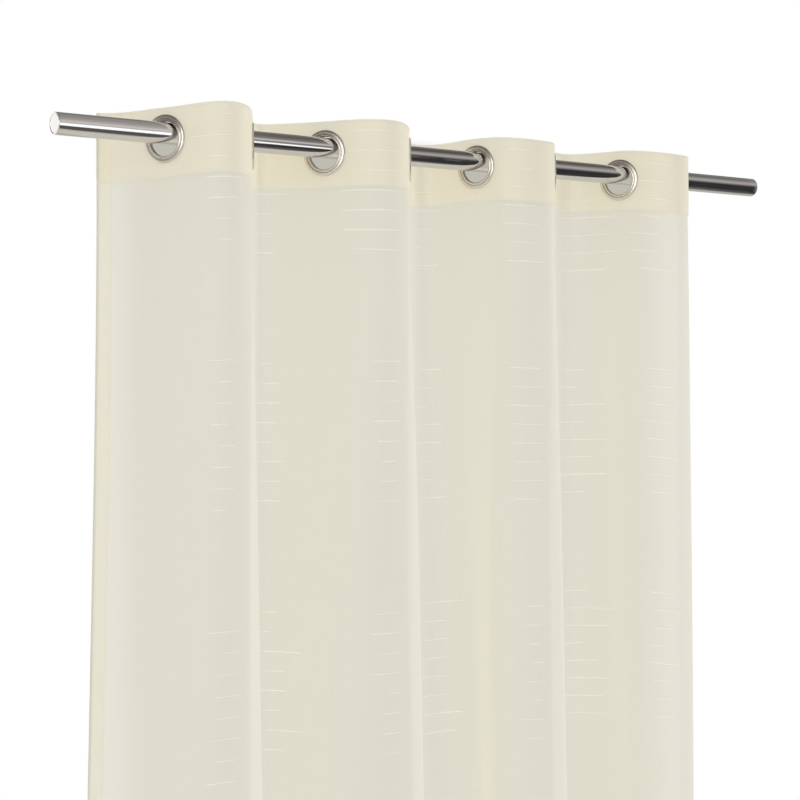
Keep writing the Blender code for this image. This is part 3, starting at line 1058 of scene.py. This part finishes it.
# The soft ramp to the left, where the eyelets face: a lit floor that darkens upwards
LEFT_STOPS = (
    (-1.00, (0.70, 0.66, 0.56)),
    (-0.50, (0.80, 0.76, 0.66)),
    (-0.15, (0.50, 0.47, 0.42)),
    (0.10, (0.36, 0.34, 0.305)),
    (0.35, (0.25, 0.235, 0.21)),
    (0.60, (0.21, 0.195, 0.175)),
    (1.00, (0.12, 0.115, 0.105)),
)


def make_world():
    """A white backdrop and even light, with a studio of its own for reflections."""
    world = bpy.data.worlds.new("studio")
    bpy.context.scene.world = world
    world.use_nodes = True
    world.node_tree.nodes.clear()
    graph = Graph(world.node_tree)
    way = graph.add("ShaderNodeTexCoord").outputs["Generated"]
    split = graph.add("ShaderNodeSeparateXYZ", Vector=way)
    x, y, z = (split.outputs[axis] for axis in "XYZ")
    height = graph.math("MULTIPLY_ADD", z, 0.5, 0.5)
    sectors = []
    for stops in (LEFT_STOPS, FRONT_STOPS, SIDE_STOPS, RIGHT_STOPS):
        ramp = graph.add("ShaderNodeValToRGB", Fac=height)
        set_stops(ramp, stops)
        sectors.append(ramp.outputs["Color"])
    left, front, side, right = sectors

    front = graph.blend(graph.remap(x, 0.48, 0.53), front, side)
    front = graph.blend(graph.remap(x, 0.54, 0.60), front, right)
    ceiling = graph.math("MULTIPLY", graph.remap(y, 0.0, 0.5), graph.remap(z, 0.3, 0.5))
    front = graph.blend(ceiling, front, (*CEILING, 1.0))
    wall = graph.math("MULTIPLY", graph.remap(y, 0.05, 0.3), graph.remap(z, 0.4, 0.2))
    front = graph.blend(wall, front, (*WALL, 1.0))

    level = graph.math("MULTIPLY", graph.remap(z, -0.65, -0.45), graph.remap(z, 0.55, 0.35))
    glow = graph.math("MULTIPLY", graph.remap(y, 0.30, 0.60), level)
    left = graph.blend(glow, left, (*GLOW, 1.0))
    hood = graph.math("MULTIPLY", graph.remap(y, -0.2, -0.35), graph.remap(z, 0.3, 0.5))
    left = graph.blend(hood, left, (*HOOD, 1.0))
    wide = graph.math("MULTIPLY", graph.remap(y, -0.74, -0.64), graph.remap(y, -0.12, -0.22))
    tall = graph.math("MULTIPLY", graph.remap(z, -0.20, -0.06), graph.remap(z, 0.40, 0.28))
    box = graph.math("MULTIPLY", wide, tall)
    left = graph.blend(box, left, (*LIGHT_BOX, 1.0))
    shown = graph.blend(graph.remap(x, 0.05, 0.30), left, front)
    shown = graph.blend(graph.remap(x, 0.78, 0.86), shown, (*FAR_WALL, 1.0))
    studio = graph.add("ShaderNodeBackground", Color=shown, Strength=1.0)

    above = graph.remap(z, -0.9, 0.9, 0.68, 0.75)
    lean = graph.math("MULTIPLY", graph.remap(y, 0.0, 0.5), x)
    strength = graph.math("MULTIPLY_ADD", lean, -0.14, above)
    even = graph.add("ShaderNodeBackground", Color=(1.0, 0.995, 0.985, 1.0), Strength=strength)
    white = graph.add("ShaderNodeBackground", Color=(1.0, 1.0, 1.0, 1.0), Strength=1.0)
    rays = graph.add("ShaderNodeLightPath")
    reflected = graph.add("ShaderNodeMixShader", _0=rays.outputs["Is Glossy Ray"], _1=even, _2=studio)
    seen = graph.add("ShaderNodeMixShader", _0=rays.outputs["Is Camera Ray"], _1=reflected, _2=white)
    graph.add("ShaderNodeOutputWorld", Surface=seen)


# Soft lights without shadows, which stand in for a tent of light round the front: the way each
# one shines, and its strength
Lamp = namedtuple("Lamp", "name way energy")
LAMPS = (
    Lamp("fill_left", (0.97, 0.10, -0.12), 0.70),
    Lamp("fill_right", (-0.35, 0.93, -0.10), 0.60),
)
LAMP_ANGLE = 30
LAMP_COLOUR = (1.0, 0.985, 0.955)

FLOOR_RADIUS = 3.4
FLOOR_GAP = 0.02
FLOOR_STEPS = 64


def make_lamps():
    """The lamps of the light tent, which don't show in the metal."""
    for lamp in LAMPS:
        data = bpy.data.lights.new(lamp.name, "SUN")
        data.energy = lamp.energy
        data.angle = radians(LAMP_ANGLE)
        data.color = LAMP_COLOUR
        data.use_shadow = False
        piece = bpy.data.objects.new(lamp.name, data)
        piece.rotation_euler = Vector(lamp.way).to_track_quat("-Z", "Y").to_euler()
        piece.visible_glossy = False
        bpy.context.scene.collection.objects.link(piece)


def make_wall_shade():
    """The curtain's soft grey shade on the white wall behind it, seen through the eyelets."""
    material, graph, output = new_material("wall_shade")
    place = graph.add("ShaderNodeTexCoord").outputs["Object"]
    split = graph.add("ShaderNodeSeparateXYZ", Vector=place)
    x, z = split.outputs["X"], split.outputs["Z"]
    across = graph.math("MULTIPLY", graph.remap(x, -0.436, -0.368), graph.remap(x, 0.505, 0.405))
    down = graph.math("MULTIPLY", graph.remap(z, 0.042, 0.012), graph.remap(z, -2.42, -2.15))
    front = graph.math("SUBTRACT", 1.0, graph.add("ShaderNodeNewGeometry").outputs["Backfacing"])
    share = graph.math("MULTIPLY", graph.math("MULTIPLY", across, down), front)
    clear = graph.add("ShaderNodeBsdfTransparent")
    grey = graph.add("ShaderNodeEmission", Color=(0.52, 0.505, 0.44, 1.0), Strength=1.0)
    mixed = graph.add("ShaderNodeMixShader", _0=share, _1=clear, _2=grey)
    graph.set(output.inputs["Surface"], mixed)
    corners = [(-0.6, 0.0, -2.43), (0.6, 0.0, -2.43), (0.6, 0.0, 0.10), (-0.6, 0.0, 0.10)]
    shade = add_mesh("wall_shade", corners, [(0, 1, 2, 3)], material)
    shade.location = (0.0, 0.1, 0.0)
    for ray in ("diffuse", "glossy", "transmission", "volume_scatter", "shadow"):
        setattr(shade, f"visible_{ray}", False)


def make_floor():
    """A pale disc under the hem, left out of the metal's reflections."""
    steps = FLOOR_STEPS
    rings = np.linspace(0.0, 1.0, 9)[1:] * FLOOR_RADIUS
    angles = np.arange(steps) * tau / steps
    points = [(0.0, 0.0, 0.0)]
    points += [(ring * cos(a), ring * sin(a), 0.0) for ring in rings for a in angles]
    faces = [(0, 1 + i, 1 + (i + 1) % steps) for i in range(steps)]
    for ring in range(len(rings) - 1):
        inner, outer = 1 + ring * steps, 1 + (ring + 1) * steps
        for i in range(steps):
            following = (i + 1) % steps
            faces.append((inner + i, outer + i, outer + following, inner + following))
    floor = add_mesh("floor", points, faces, floor_material(FLOOR_RADIUS))
    floor.location = (0.0, 0.0, cad_low[2] - FLOOR_GAP)
    floor.visible_glossy = False


def main():
    make_camera()
    make_world()
    bpy.context.scene.view_settings.view_transform = "Standard"
    make_lamps()
    make_wall_shade()
    make_floor()

    voile = make_panel(voile_material())
    tape = make_tape(tape_material())
    dash_yarn = yarn_material("dash_yarn", (0.90, 0.885, 0.805), (0.935, 0.92, 0.85), 0.0021)
    thread = yarn_material("sewing_thread", (0.72, 0.69, 0.56), (0.79, 0.765, 0.64), 0.0009)
    dashes = make_dashes(dash_yarn)
    heading_sewing, hem_sewing = make_stitches(thread)
    eyelets = make_eyelets(nickel_material())
    rod = make_rod(chrome_material())

    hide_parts("panel")
    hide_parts("heading_tape")
    for piece in (voile, tape, dashes, heading_sewing, hem_sewing, rod, *eyelets):
        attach(piece, "root")


main()
